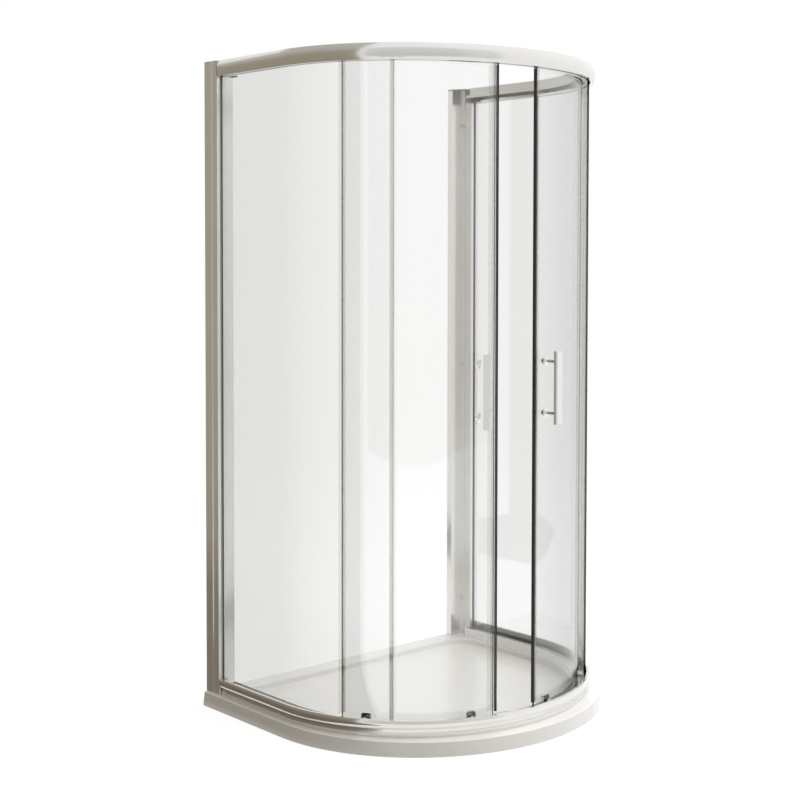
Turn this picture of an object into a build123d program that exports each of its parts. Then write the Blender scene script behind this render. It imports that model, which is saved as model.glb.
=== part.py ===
"""D-shaped shower enclosure: low tray, two curved sliding doors between two fixed curved panels.

Millimetres, +Z up. The wall is the plane y = +tray_depth / 2, the front of the enclosure faces -Y and
the underside of the tray is z = 0. Angles are measured about the centre of the curved front, from +X,
so the middle of the front is at -90 degrees. The left door stands open by left_door_open, the right
door is closed.
"""
from build123d import *
from math import atan, cos, degrees, radians, sin
import os

os.makedirs("parts", exist_ok=True)

# Tray
tray_width = 1050.0
tray_depth = 925.0
tray_height = 40.0
tray_draft = 5.0
tray_rim = 76.0
tray_back_rim = 58.0
tray_corner = 70.0
basin_depth = 16.0
basin_edge = 5.0
tray_edge = 3.0
waste_hole = 90.0
waste_seat = 116.0
waste_seat_depth = 3.0
waste_from_front = 162.5

# Frame: rails, posts and wall channels
frame_height = 1850.0
rail_from_tray_edge = 19.0
rail_depth = 52.0
rail_wall = 2.0
rail_centre_from_wall = 375.5
top_rail_height = 45.0
top_rail_belly = 7.0
top_rail_crown = 22.0
top_rail_lip = 3.0
top_rail_inner_height = 31.0
bottom_rail_height = 46.0
bottom_rail_belly = 3.0
bottom_rail_groove = 11.5
bottom_rail_foot = 12.0
bottom_rail_base = 3.0
bottom_rail_inner_height = 30.0
glass_pocket_top = 27.0
glass_pocket_bottom = 14.0
pocket_wall = 2.0
track_rib = 1.6
track_rib_height = 4.0
end_cap = 3.0
end_clip_length = 18.0
end_clip = 1.6
end_clip_rib = 5.0
end_clip_base = 0.6
end_foot_width = 12.0
end_foot_round = 5.0
post_width = 30.0
post_depth = 56.0
post_reach = 62.0
post_wall = 1.8
post_pocket_depth = 30.0
channel_depth = 35.0
channel_wall = 1.8
channel_step = 2.0
channel_flange_width = 48.0
channel_flange_depth = 22.0
slip = 0.3
wall_screw_hole = 5.0
wall_screw_inset = 180.0
top_cap = 5.0
top_cap_notches = 5
top_cap_notch = 6.5
frame_screw_head = 8.0
frame_screw_shank = 3.6
frame_screw_head_height = 2.4

# Glass
glass = 6.0
glass_fit = 0.3
fixed_glass_set_in = 8.0
fixed_end_angle = -139.2
door_glass_set_in = 32.0
door_glass_top_gap = 12.0
door_glass_lift = 14.0
door_arc = 52.6
left_door_open = 15.0
door_meeting_gap = 0.5
gasket = 1.2

# Seals
seal_wall = 1.2
seal_leg = 10.0
seal_inner_leg = 17.0
seal_head = 4.0
fixed_seal_lip_gap = 2.7
door_seal_lip_gap = 3.0
magnet_thickness = 3.5
magnet_width = 10.0
magnet_outset = 6.0

# Handles
handle_length = 203.0
handle_width = 28.0
handle_thickness = 10.0
handle_chamfer = 3.0
handle_stand_off = 41.0
handle_centre_height = 966.0
handle_hole_pitch = 145.0
handle_from_edge = 50.5
handle_rod = 11.0
handle_washer = 25.0
handle_washer_height = 2.5
handle_washer_slope = 2.0
handle_spigot = 8.0
handle_screw = 5.0
handle_hole = 10.0
handle_button = 17.0
handle_button_height = 6.0

# Rollers
roller_from_edge = 71.0
top_wheel_radius = 11.5
top_wheel_groove_radius = 8.0
bottom_wheel_radius = 9.5
bottom_wheel_groove_radius = 6.5
wheel_width = 7.5
wheel_groove_side = 0.7
wheel_bore = 6.1
axle = 6.0
axle_head = 10.0
axle_head_height = 2.4
axle_shoulder = 14.0
axle_shoulder_height = 2.0
axle_play = 0.3
bend_play = 0.15
roller_hole = 12.0
bottom_wheel_lift = 32.0
cap_nut = 16.0
cap_nut_height = 7.0
cap_nut_washer = 22.0
cap_nut_washer_height = 2.2
housing_width = 27.0
housing_rise = 19.0
housing_drop = 11.0
housing_depth = 10.5
housing_round = 5.0
buffer_arc = 2.0
buffer_height = 15.0
buffer_gap = 1.0
door_travel = 40.0

# Derived positions
wall_y = tray_depth / 2
tray_radius = tray_width / 2
tray_arc_y = wall_y - (tray_depth - tray_radius)
arc_y = wall_y - rail_centre_from_wall
rail_out = tray_radius - rail_from_tray_edge
rail_in = rail_out - rail_depth
frame_bottom = tray_height
frame_top = frame_bottom + frame_height
rail_end_y = wall_y - post_reach - end_cap
rail_straight = rail_end_y - arc_y

fixed_out = rail_out - fixed_glass_set_in
fixed_in = fixed_out - glass
door_out = rail_out - door_glass_set_in
door_in = door_out - glass
inner_seat = door_in - bend_play
pocket_out = fixed_out + glass_fit
pocket_in = fixed_in - glass_fit
pocket_back = pocket_in - pocket_wall

rib_middle = door_out + axle_shoulder_height + axle_play * 2 + wheel_width / 2
wheel_in = rib_middle - wheel_width / 2
wheel_out = rib_middle + wheel_width / 2

top_rail_bottom = frame_top - top_rail_height
bottom_rail_top = frame_bottom + bottom_rail_height
ledge_top = top_rail_bottom + rail_wall
top_rib_top = ledge_top + track_rib_height
top_axle_z = top_rib_top + top_wheel_groove_radius + axle_play
bottom_axle_z = frame_bottom + bottom_wheel_lift
bottom_rib_top = bottom_axle_z - bottom_wheel_groove_radius - axle_play
fixed_glass_bottom = frame_bottom + glass_pocket_bottom + slip
fixed_glass_top = top_rail_bottom + glass_pocket_top - slip
door_bottom = frame_bottom + door_glass_lift
door_top = frame_top - door_glass_top_gap

post_out_x = rail_out + post_wall + 3.1
post_in_x = post_out_x - post_width
channel_in_x = post_in_x - slip - channel_wall
channel_out_x = post_out_x + slip + channel_wall
post_front_y = wall_y - post_reach
post_back_y = post_front_y + post_depth
pocket_end_y = post_front_y + post_pocket_depth
channel_front_y = wall_y - channel_depth
flange_edge_x = channel_in_x - channel_flange_width
upright_height = frame_height - top_cap

meeting_half = degrees(door_meeting_gap / 2 / door_out)
left_lead = -90.0 - meeting_half - left_door_open
right_lead = -90.0 + meeting_half
roller_angle = degrees(roller_from_edge / door_out)
handle_angle = degrees(handle_from_edge / door_out)
magnet_angle = degrees(magnet_thickness / door_out)
head_angle = degrees(seal_head / door_out)
fixed_seal_angle = degrees(seal_leg / fixed_out)
door_seal_angle = degrees(seal_leg / door_out)
inner_leg_angle = degrees(seal_inner_leg / door_out)
wall_angle_door = degrees(seal_wall / door_out)
wall_angle_fixed = degrees(seal_wall / fixed_out)

rail_axis = Axis((0, arc_y, 0), (0, 0, -1))
section_plane = Plane(origin=(0, arc_y, 0), x_dir=(1, 0, 0), z_dir=(0, -1, 0))


def plan_plane(height):
    """Horizontal plane at a height, with its origin on the axis of the curved front."""
    return Plane(origin=(0, arc_y, height), x_dir=(1, 0, 0), z_dir=(0, 0, 1))


def facing_plane(angle, height, distance):
    """Plane square to the radius at an angle: local x runs round the curve, local y runs up."""
    out = (cos(radians(angle)), sin(radians(angle)), 0)
    centre = (distance * out[0], arc_y + distance * out[1], height)
    return Plane(origin=centre, x_dir=(-out[1], out[0], 0), z_dir=out)


def axial_plane(angle, height):
    """Plane through the radius at an angle: local x is the distance out, local y runs up."""
    out = (cos(radians(angle)), sin(radians(angle)), 0)
    return Plane(origin=(0, arc_y, height), x_dir=out, z_dir=(out[1], -out[0], 0))


def turned(angle, height, outline, mode=Mode.ADD):
    """A piece turned about the radius at an angle, from (distance out, radius) points."""
    plane = axial_plane(angle, height)
    with BuildSketch(plane) as half:
        with BuildLine():
            Polyline(outline, close=True)
        make_face()
    revolve(half.sketch, axis=Axis(plane.origin, plane.x_dir), mode=mode)


def curved_wall(inner, outer, start, finish, low, high, mode=Mode.ADD):
    """A curved wall between two radii and two angles, from one height to another."""
    with BuildSketch(plan_plane(low)) as sector:
        with BuildLine():
            outside = CenterArc((0, 0), outer, start, finish - start)
            inside = CenterArc((0, 0), inner, start, finish - start)
            Line(outside @ 0, inside @ 0)
            Line(outside @ 1, inside @ 1)
        make_face()
    extrude(sector.sketch, amount=high - low, mode=mode)


def along(side, angle):
    """Angle of a right-hand feature, mirrored to the left when side is -1."""
    return angle if side > 0 else -180.0 - angle


# Tray: drafted outside, rim that carries the frame, basin with a round waste hole
with BuildPart() as shower_tray:
    with BuildSketch():
        with BuildLine():
            CenterArc((0, tray_arc_y), tray_radius, 180, 180)
            Polyline(
                (tray_radius, tray_arc_y),
                (tray_radius, wall_y + tray_corner),
                (-tray_radius, wall_y + tray_corner),
                (-tray_radius, tray_arc_y),
            )
        make_face()
    extrude(amount=tray_height, taper=degrees(atan(tray_draft / tray_height)))
    split(bisect_by=Plane.XZ.offset(-wall_y), keep=Keep.TOP)
    basin_radius = tray_radius - tray_rim
    with BuildSketch(Plane.XY.offset(tray_height)) as basin:
        basin_back = wall_y - tray_back_rim
        with BuildLine():
            CenterArc((0, tray_arc_y), basin_radius, 180, 180)
            Polyline(
                (basin_radius, tray_arc_y),
                (basin_radius, basin_back),
                (-basin_radius, basin_back),
                (-basin_radius, tray_arc_y),
            )
        make_face()
        fillet(basin.vertices().group_by(Axis.Y)[-1], tray_corner)
    extrude(amount=-basin_depth, taper=12, mode=Mode.SUBTRACT)
    rim_edges = shower_tray.faces().filter_by(Plane.XY).sort_by(Axis.Z)[-1].inner_wires()[0].edges()
    fillet(rim_edges, basin_edge)
    fillet(shower_tray.faces().sort_by(Axis.Z)[-1].outer_wire().edges().filter_by(GeomType.CIRCLE), tray_edge)
    with Locations((0, wall_y - tray_depth + waste_from_front, tray_height - basin_depth)):
        CounterBoreHole(waste_hole / 2, waste_seat / 2, waste_seat_depth)
shower_tray.part.label = "shower_tray"
export_step(shower_tray.part, "parts/shower_tray.step")

# Top rail: bellied fascia, pocket for the fixed glass, ledge and rib that carry the rollers
with BuildPart() as top_rail:
    with BuildSketch(section_plane) as top_section:
        with BuildLine():
            ThreePointArc(
                (rail_out, frame_top),
                (rail_out + top_rail_belly, frame_top - top_rail_crown),
                (rail_out + top_rail_lip, top_rail_bottom),
            )
            Polyline(
                (rail_out + top_rail_lip, top_rail_bottom),
                (pocket_out, top_rail_bottom),
                (pocket_out, top_rail_bottom + glass_pocket_top),
                (pocket_in, top_rail_bottom + glass_pocket_top),
                (pocket_in, top_rail_bottom),
                (rib_middle - track_rib / 2, top_rail_bottom),
                (rib_middle - track_rib / 2, top_rib_top),
                (rib_middle + track_rib / 2, top_rib_top),
                (rib_middle + track_rib / 2, ledge_top),
                (pocket_back, ledge_top),
                (pocket_back, frame_top - rail_wall),
                (rail_in + rail_wall, frame_top - rail_wall),
                (rail_in + rail_wall, frame_top - top_rail_inner_height),
                (rail_in, frame_top - top_rail_inner_height),
                (rail_in, frame_top),
                (rail_out, frame_top),
            )
        make_face()
        with BuildLine():
            Polyline(
                (rail_out - rail_wall, frame_top - rail_wall),
                (rail_out + top_rail_belly - rail_wall, frame_top - top_rail_crown),
                (rail_out + top_rail_lip - rail_wall, top_rail_bottom + rail_wall),
                (pocket_out + rail_wall, top_rail_bottom + rail_wall),
                (pocket_out + rail_wall, frame_top - rail_wall),
                close=True,
            )
        make_face(mode=Mode.SUBTRACT)
    revolve(top_section.sketch, axis=rail_axis, revolution_arc=90)
    extrude(top_section.sketch, amount=rail_straight, dir=(0, 1, 0))
    mirror(about=Plane.YZ)
top_rail.part.label = "top_rail"
export_step(top_rail.part, "parts/top_rail.step")

# Bottom rail: rounded upper face over a groove, pocket for the fixed glass, rib for the lower wheels
with BuildPart() as bottom_rail:
    foot_out = rail_out - 4.0
    groove_top = frame_bottom + bottom_rail_foot + bottom_rail_groove
    with BuildSketch(section_plane) as bottom_section:
        with BuildLine():
            ThreePointArc(
                (rail_out, bottom_rail_top),
                (rail_out + bottom_rail_belly, bottom_rail_top - 11.0),
                (rail_out + 1.0, groove_top),
            )
            Polyline(
                (rail_out + 1.0, groove_top),
                (pocket_out + rail_wall, groove_top),
                (pocket_out + rail_wall, frame_bottom + bottom_rail_foot),
                (foot_out, frame_bottom + bottom_rail_foot),
                (foot_out, frame_bottom),
                (rail_in, frame_bottom),
                (rail_in, frame_bottom + bottom_rail_inner_height),
                (rail_in + rail_wall, frame_bottom + bottom_rail_inner_height),
                (rail_in + rail_wall, frame_bottom + bottom_rail_base),
                (rib_middle - track_rib / 2, frame_bottom + bottom_rail_base),
                (rib_middle - track_rib / 2, bottom_rib_top),
                (rib_middle + track_rib / 2, bottom_rib_top),
                (rib_middle + track_rib / 2, frame_bottom + bottom_rail_base),
                (pocket_back, frame_bottom + bottom_rail_base),
                (pocket_back, groove_top),
                (pocket_in, groove_top),
                (pocket_in, frame_bottom + glass_pocket_bottom),
                (pocket_out, frame_bottom + glass_pocket_bottom),
                (pocket_out, bottom_rail_top),
                (rail_out, bottom_rail_top),
            )
        make_face()
    revolve(bottom_section.sketch, axis=rail_axis, revolution_arc=90)
    extrude(bottom_section.sketch, amount=rail_straight, dir=(0, 1, 0))
    mirror(about=Plane.YZ)
bottom_rail.part.label = "bottom_rail"
export_step(bottom_rail.part, "parts/bottom_rail.step")

# End caps between the rails and the posts, slotted where the fixed glass passes
cap_plane = Plane(origin=(0, post_front_y, 0), x_dir=(1, 0, 0), z_dir=(0, -1, 0))
with BuildPart() as top_rail_end_caps:
    with BuildSketch(cap_plane):
        with BuildLine():
            ThreePointArc(
                (rail_out, frame_top),
                (rail_out + top_rail_belly, frame_top - top_rail_crown),
                (rail_out + top_rail_lip, top_rail_bottom),
            )
            Polyline(
                (rail_out + top_rail_lip, top_rail_bottom),
                (pocket_out, top_rail_bottom),
                (pocket_out, top_rail_bottom + glass_pocket_top),
                (pocket_in, top_rail_bottom + glass_pocket_top),
                (pocket_in, top_rail_bottom),
                (rail_in, top_rail_bottom),
                (rail_in, frame_top),
                (rail_out, frame_top),
            )
        make_face()
    extrude(amount=end_cap)
    foot_height = top_rail_height - top_rail_inner_height
    with BuildSketch(Plane.YZ.offset(rail_in)) as foot:
        foot_y = rail_end_y - end_clip_length
        with Locations(((foot_y + rail_end_y) / 2, top_rail_bottom + foot_height / 2)):
            Rectangle(end_clip_length, foot_height)
        fillet(foot.vertices().group_by(Axis.Y)[0].sort_by(Axis.Z)[0], end_foot_round)
    extrude(foot.sketch, amount=end_foot_width)
    clip_low = frame_top - top_rail_crown
    clip_high = frame_top - end_cap
    with BuildSketch(Plane.XY.offset(clip_low)) as clip:
        with BuildLine():
            Polyline(
                (rail_in, post_front_y),
                (rail_in - end_clip, post_front_y),
                (rail_in - end_clip, rail_end_y - end_clip_rib / 2),
                (rail_in - end_clip_base, rail_end_y - end_clip_rib / 2),
                (rail_in - end_clip_base, rail_end_y - end_clip_length + end_clip_rib),
                (rail_in - end_clip, rail_end_y - end_clip_length + end_clip_rib),
                (rail_in - end_clip, rail_end_y - end_clip_length),
                (rail_in, rail_end_y - end_clip_length),
                close=True,
            )
        make_face()
    extrude(clip.sketch, amount=clip_high - clip_low)
    mirror(about=Plane.YZ)
top_rail_end_caps.part.label = "top_rail_end_caps"
export_step(top_rail_end_caps.part, "parts/top_rail_end_caps.step")

with BuildPart() as bottom_rail_end_caps:
    with BuildSketch(cap_plane):
        with BuildLine():
            Polyline(
                (rail_out, bottom_rail_top),
                (rail_out + 1.0, groove_top),
                (foot_out, frame_bottom + bottom_rail_foot),
                (foot_out, frame_bottom),
                (rail_in, frame_bottom),
                (rail_in, frame_bottom + bottom_rail_inner_height),
                (pocket_back, groove_top),
                (pocket_in, groove_top),
                (pocket_in, frame_bottom + glass_pocket_bottom),
                (pocket_out, frame_bottom + glass_pocket_bottom),
                (pocket_out, bottom_rail_top),
                close=True,
            )
        make_face()
    extrude(amount=end_cap)
    mirror(about=Plane.YZ)
bottom_rail_end_caps.part.label = "bottom_rail_end_caps"
export_step(bottom_rail_end_caps.part, "parts/bottom_rail_end_caps.step")

# Caps that close the tops of the posts and wall channels, notched along their inner edges
with BuildPart() as post_top_caps:
    with BuildSketch(Plane.XY.offset(frame_top - top_cap)) as cap_plan:
        with BuildLine():
            Polyline(
                (channel_out_x, wall_y),
                (channel_out_x, channel_front_y),
                (post_out_x, channel_front_y),
                (post_out_x, post_front_y),
                (rail_in, post_front_y),
                (flange_edge_x, wall_y - channel_flange_depth),
                (flange_edge_x, wall_y),
                close=True,
            )
        make_face()
        notch_pitch = (wall_y - post_front_y) / top_cap_notches
        for notch in range(top_cap_notches):
            notch_y = post_front_y + (notch + 0.5) * notch_pitch
            lean = (rail_in - flange_edge_x) / (wall_y - channel_flange_depth - post_front_y)
            edge_x = max(flange_edge_x, rail_in - lean * (notch_y - post_front_y))
            with Locations((edge_x, notch_y)):
                Rectangle(top_cap_notch, top_cap_notch, mode=Mode.SUBTRACT)
    extrude(cap_plan.sketch, amount=top_cap)
    mirror(about=Plane.YZ)
post_top_caps.part.label = "post_top_caps"
export_step(post_top_caps.part, "parts/post_top_caps.step")

# Screws that join each wall channel to its post, from the inside
screw_heights = [frame_bottom + 120.0, frame_bottom + frame_height / 2, frame_top - 120.0]
screw_y = wall_y - channel_flange_depth - frame_screw_head / 2 - slip
with BuildPart() as frame_screws:
    for screw_z in screw_heights:
        spot = Plane(origin=(channel_in_x, screw_y, screw_z), x_dir=(0, 1, 0), z_dir=(-1, 0, 0))
        with BuildSketch(spot) as head:
            Circle(frame_screw_head / 2)
        extrude(head.sketch, amount=frame_screw_head_height)
        with BuildSketch(spot) as shank:
            Circle(frame_screw_shank / 2)
        extrude(shank.sketch, amount=-(channel_wall + slip + post_wall + 3.0))
    mirror(about=Plane.YZ)
frame_screws.part.label = "frame_screws"
export_step(frame_screws.part, "parts/frame_screws.step")

wall_hole_x = (post_in_x + post_out_x) / 2
wall_hole_heights = [frame_bottom + wall_screw_inset, frame_top - wall_screw_inset]
wall_hole_middle = (frame_bottom + frame_top) / 2

for side, name in ((-1, "left"), (1, "right")):
    # Wall channel: deep pocket for the post beside a wide shallow flange
    with BuildPart() as wall_channel:
        with BuildSketch(Plane.XY.offset(frame_bottom)):
            with BuildLine():
                Polyline(
                    [
                        (side * x, y)
                        for x, y in (
                            (channel_out_x, wall_y),
                            (channel_out_x, channel_front_y),
                            (channel_out_x - channel_wall, channel_front_y),
                            (channel_out_x - channel_wall, wall_y - channel_wall),
                            (channel_in_x + channel_wall, wall_y - channel_wall),
                            (channel_in_x + channel_wall, channel_front_y + channel_step),
                            (channel_in_x, channel_front_y + channel_step),
                            (channel_in_x, wall_y - channel_flange_depth),
                            (flange_edge_x, wall_y - channel_flange_depth),
                            (flange_edge_x, wall_y),
                            (flange_edge_x + channel_wall, wall_y),
                            (flange_edge_x + channel_wall, wall_y - channel_flange_depth + channel_wall),
                            (channel_in_x, wall_y - channel_flange_depth + channel_wall),
                            (channel_in_x, wall_y),
                        )
                    ],
                    close=True,
                )
            make_face()
        extrude(amount=upright_height)
        with BuildSketch(Plane.XZ.offset(-wall_y)):
            with Locations(
                *[(side * wall_hole_x, z) for z in (*wall_hole_heights, wall_hole_middle)]
            ):
                Circle(wall_screw_hole / 2)
        extrude(amount=channel_wall, mode=Mode.SUBTRACT)
        with BuildSketch(Plane.YZ.offset(side * channel_in_x)):
            with Locations(*[(screw_y, z) for z in screw_heights]):
                Circle(frame_screw_shank / 2)
        extrude(amount=side * channel_wall, mode=Mode.SUBTRACT)
    wall_channel.part.label = f"wall_channel_{name}"
    export_step(wall_channel.part, f"parts/wall_channel_{name}.step")

    # Post: box section with a front pocket for glass and gasket
    with BuildPart() as post:
        with BuildSketch(Plane.XY.offset(frame_bottom)) as post_plan:
            with Locations((side * (post_in_x + post_out_x) / 2, (post_front_y + post_back_y) / 2)):
                Rectangle(post_width, post_depth)
            outer_gap = pocket_out + gasket
            with Locations((side * (pocket_in + outer_gap) / 2, (post_front_y + pocket_end_y) / 2)):
                Rectangle(outer_gap - pocket_in, post_pocket_depth, mode=Mode.SUBTRACT)
            side_low = outer_gap + post_wall
            side_high = post_out_x - post_wall
            with Locations((side * (side_low + side_high) / 2, (post_front_y + pocket_end_y) / 2)):
                Rectangle(side_high - side_low, post_pocket_depth - 2 * post_wall, mode=Mode.SUBTRACT)
            inner_low = post_in_x + post_wall
            inner_high = pocket_in - post_wall
            with Locations((side * (inner_low + inner_high) / 2, (post_front_y + pocket_end_y) / 2)):
                Rectangle(inner_high - inner_low, post_pocket_depth - 2 * post_wall, mode=Mode.SUBTRACT)
            room = post_back_y - pocket_end_y - 2 * post_wall
            with Locations((side * (post_in_x + post_out_x) / 2, (post_back_y + pocket_end_y) / 2)):
                Rectangle(post_width - 2 * post_wall, room, mode=Mode.SUBTRACT)
        extrude(amount=upright_height)
        with BuildSketch(Plane.YZ.offset(side * post_in_x)):
            with Locations(*[(screw_y, z) for z in screw_heights]):
                Circle(frame_screw_shank / 2)
        extrude(amount=side * post_wall, mode=Mode.SUBTRACT)
    post.part.label = f"post_{name}"
    export_step(post.part, f"parts/post_{name}.step")

    # Gasket that wedges the fixed glass in its post
    with BuildPart() as post_gasket:
        with BuildSketch(Plane.XY.offset(bottom_rail_top)):
            with BuildLine():
                Polyline(
                    [
                        (side * x, y)
                        for x, y in (
                            (fixed_out, pocket_end_y),
                            (outer_gap, pocket_end_y),
                            (outer_gap, post_front_y),
                            (outer_gap + 0.8, post_front_y - 1.6),
                            (fixed_out, post_front_y - 2.4),
                        )
                    ],
                    close=True,
                )
            make_face()
        extrude(amount=top_rail_bottom - bottom_rail_top)
    post_gasket.part.label = f"post_gasket_{name}"
    export_step(post_gasket.part, f"parts/post_gasket_{name}.step")

    # Fixed panel: flat length out of the post, then bent round the front
    fixed_end = along(side, -180.0 - fixed_end_angle)
    fixed_start = along(side, 0.0)
    with BuildPart() as fixed_glass:
        curved_wall(fixed_in, fixed_out, fixed_start, fixed_end, fixed_glass_bottom, fixed_glass_top)
        with BuildSketch(Plane.XY.offset(fixed_glass_bottom)):
            flat_end = pocket_end_y - slip
            with Locations((side * (fixed_in + fixed_out) / 2, (arc_y + flat_end) / 2)):
                Rectangle(glass, flat_end - arc_y)
        extrude(amount=fixed_glass_top - fixed_glass_bottom)
    fixed_glass.part.label = f"fixed_glass_{name}"
    export_step(fixed_glass.part, f"parts/fixed_glass_{name}.step")

    # Seal on the free end of the fixed panel, with a lip that reaches towards the door
    seal_low = bottom_rail_top + slip
    seal_high = top_rail_bottom - slip
    with BuildPart() as fixed_seal:
        back = along(side, -180.0 - fixed_end_angle + fixed_seal_angle)
        front = along(side, -180.0 - fixed_end_angle - wall_angle_fixed)
        curved_wall(fixed_in - seal_wall, fixed_out + seal_wall, back, front, seal_low, seal_high)
        curved_wall(fixed_in, fixed_out, back, fixed_end, seal_low, seal_high, mode=Mode.SUBTRACT)
        lip = door_out + fixed_seal_lip_gap
        curved_wall(lip, fixed_in, fixed_end, front, seal_low, seal_high)
    fixed_seal.part.label = f"fixed_seal_{name}"
    export_step(fixed_seal.part, f"parts/fixed_seal_{name}.step")

    # Rubber buffer that stops the roller at the end of its track
    travel_end = -90.0 + door_arc - roller_angle + door_travel
    wheel_half = degrees(top_wheel_radius / rib_middle)
    buffer_start = along(side, travel_end + wheel_half + degrees(buffer_gap / rib_middle))
    buffer_end = along(side, travel_end + wheel_half + degrees(buffer_gap / rib_middle) + buffer_arc)
    with BuildPart() as door_buffer:
        curved_wall(
            rib_middle + track_rib / 2 + slip,
            wheel_out,
            buffer_start,
            buffer_end,
            ledge_top,
            ledge_top + buffer_height,
        )
    door_buffer.part.label = f"door_buffer_{name}"
    export_step(door_buffer.part, f"parts/door_buffer_{name}.step")

    # Door: everything below hangs on one curved pane
    lead = left_lead if side < 0 else right_lead
    roller_spots = {
        "lead": lead + side * roller_angle,
        "trail": lead + side * (door_arc - roller_angle),
    }
    handle_at = lead + side * handle_angle
    glass_start = lead + side * (magnet_angle + head_angle)
    glass_end = lead + side * (door_arc - wall_angle_door)
    handle_heights = [
        handle_centre_height - handle_hole_pitch / 2,
        handle_centre_height + handle_hole_pitch / 2,
    ]

    with BuildPart() as door_glass:
        curved_wall(door_in, door_out, glass_start, glass_end, door_bottom, door_top)
        for spot in roller_spots.values():
            for hole_z in (top_axle_z, bottom_axle_z):
                with BuildSketch(facing_plane(spot, hole_z, door_in - glass)) as bore:
                    Circle(roller_hole / 2)
                extrude(bore.sketch, amount=3 * glass, mode=Mode.SUBTRACT)
        for hole_z in handle_heights:
            with BuildSketch(facing_plane(handle_at, hole_z, door_in - glass)) as bore:
                Circle(handle_hole / 2)
            extrude(bore.sketch, amount=3 * glass, mode=Mode.SUBTRACT)
    door_glass.part.label = f"door_glass_{name}"
    export_step(door_glass.part, f"parts/door_glass_{name}.step")

    # Seal on the trailing edge, with a fin towards the fixed panel
    trail = lead + side * door_arc
    seal_back = trail - side * door_seal_angle
    with BuildPart() as door_edge_seal:
        curved_wall(door_in - seal_wall, door_out + seal_wall, seal_back, trail, seal_low, seal_high)
        curved_wall(door_in, door_out, seal_back, glass_end, seal_low, seal_high, mode=Mode.SUBTRACT)
        curved_wall(door_out, fixed_in - door_seal_lip_gap, glass_end, trail, seal_low, seal_high)
    door_edge_seal.part.label = f"door_edge_seal_{name}"
    export_step(door_edge_seal.part, f"parts/door_edge_seal_{name}.step")

    # Magnetic seal on the leading edge: clear clip over the pane, dark magnet strip at its front
    clip_front = lead + side * magnet_angle
    magnet_out = door_out + magnet_outset
    magnet_in = magnet_out - magnet_width
    with BuildPart() as door_magnet_seal:
        clip_in = door_in - seal_wall
        clip_out = door_out + seal_wall
        leg = clip_front + side * (head_angle + inner_leg_angle)
        short_leg = clip_front + side * (head_angle + door_seal_angle)
        curved_wall(clip_in, magnet_out, clip_front, glass_start, seal_low, seal_high)
        curved_wall(door_out, clip_out, glass_start, short_leg, seal_low, seal_high)
        curved_wall(clip_in, door_in, glass_start, leg, seal_low, seal_high)
    door_magnet_seal.part.label = f"door_magnet_seal_{name}"
    export_step(door_magnet_seal.part, f"parts/door_magnet_seal_{name}.step")

    with BuildPart() as door_magnet:
        curved_wall(magnet_in, magnet_out, lead, clip_front, seal_low, seal_high)
    door_magnet.part.label = f"door_magnet_{name}"
    export_step(door_magnet.part, f"parts/door_magnet_{name}.step")

    # Handle: chamfered bar on two turned stand-offs, screwed through the pane from inside
    bar_back = door_out + handle_stand_off
    with BuildPart() as handle_bar:
        with BuildSketch(facing_plane(handle_at, handle_centre_height, bar_back)):
            Rectangle(handle_width, handle_length)
        extrude(amount=handle_thickness)
        grip_plane = facing_plane(handle_at, handle_centre_height, bar_back + handle_thickness)
        long_edges = handle_bar.edges().filter_by(Axis.Z)
        chamfer(long_edges.sort_by_distance(grip_plane.origin)[0:2], handle_chamfer)
        for hole_z in handle_heights:
            with BuildSketch(facing_plane(handle_at, hole_z, bar_back)) as socket:
                Circle(handle_spigot / 2)
            extrude(socket.sketch, amount=handle_thickness / 2, mode=Mode.SUBTRACT)
    handle_bar.part.label = f"handle_bar_{name}"
    export_step(handle_bar.part, f"parts/handle_bar_{name}.step")

    with BuildPart() as handle_posts:
        for hole_z in handle_heights:
            turned(
                handle_at,
                hole_z,
                [
                    (door_out, 0),
                    (door_out, handle_washer / 2),
                    (door_out + handle_washer_height, handle_washer / 2),
                    (door_out + handle_washer_height + handle_washer_slope, handle_rod / 2),
                    (bar_back, handle_rod / 2),
                    (bar_back, handle_spigot / 2),
                    (bar_back + handle_thickness / 2 - slip, handle_spigot / 2),
                    (bar_back + handle_thickness / 2 - slip, 0),
                ],
            )
            turned(
                handle_at,
                hole_z,
                [
                    (door_out, 0),
                    (door_out, handle_screw / 2),
                    (door_out + 14.0, handle_screw / 2),
                    (door_out + 14.0, 0),
                ],
                mode=Mode.SUBTRACT,
            )
    handle_posts.part.label = f"handle_posts_{name}"
    export_step(handle_posts.part, f"parts/handle_posts_{name}.step")

    with BuildPart() as handle_screws:
        for hole_z in handle_heights:
            turned(
                handle_at,
                hole_z,
                [
                    (inner_seat - handle_button_height, 0),
                    (inner_seat - handle_button_height, handle_button / 2 - 3.0),
                    (inner_seat - 2.5, handle_button / 2),
                    (inner_seat, handle_button / 2),
                    (inner_seat, handle_screw / 2),
                    (door_out + 12.0, handle_screw / 2),
                    (door_out + 12.0, 0),
                ],
            )
    handle_screws.part.label = f"handle_screws_{name}"
    export_step(handle_screws.part, f"parts/handle_screws_{name}.step")

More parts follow.
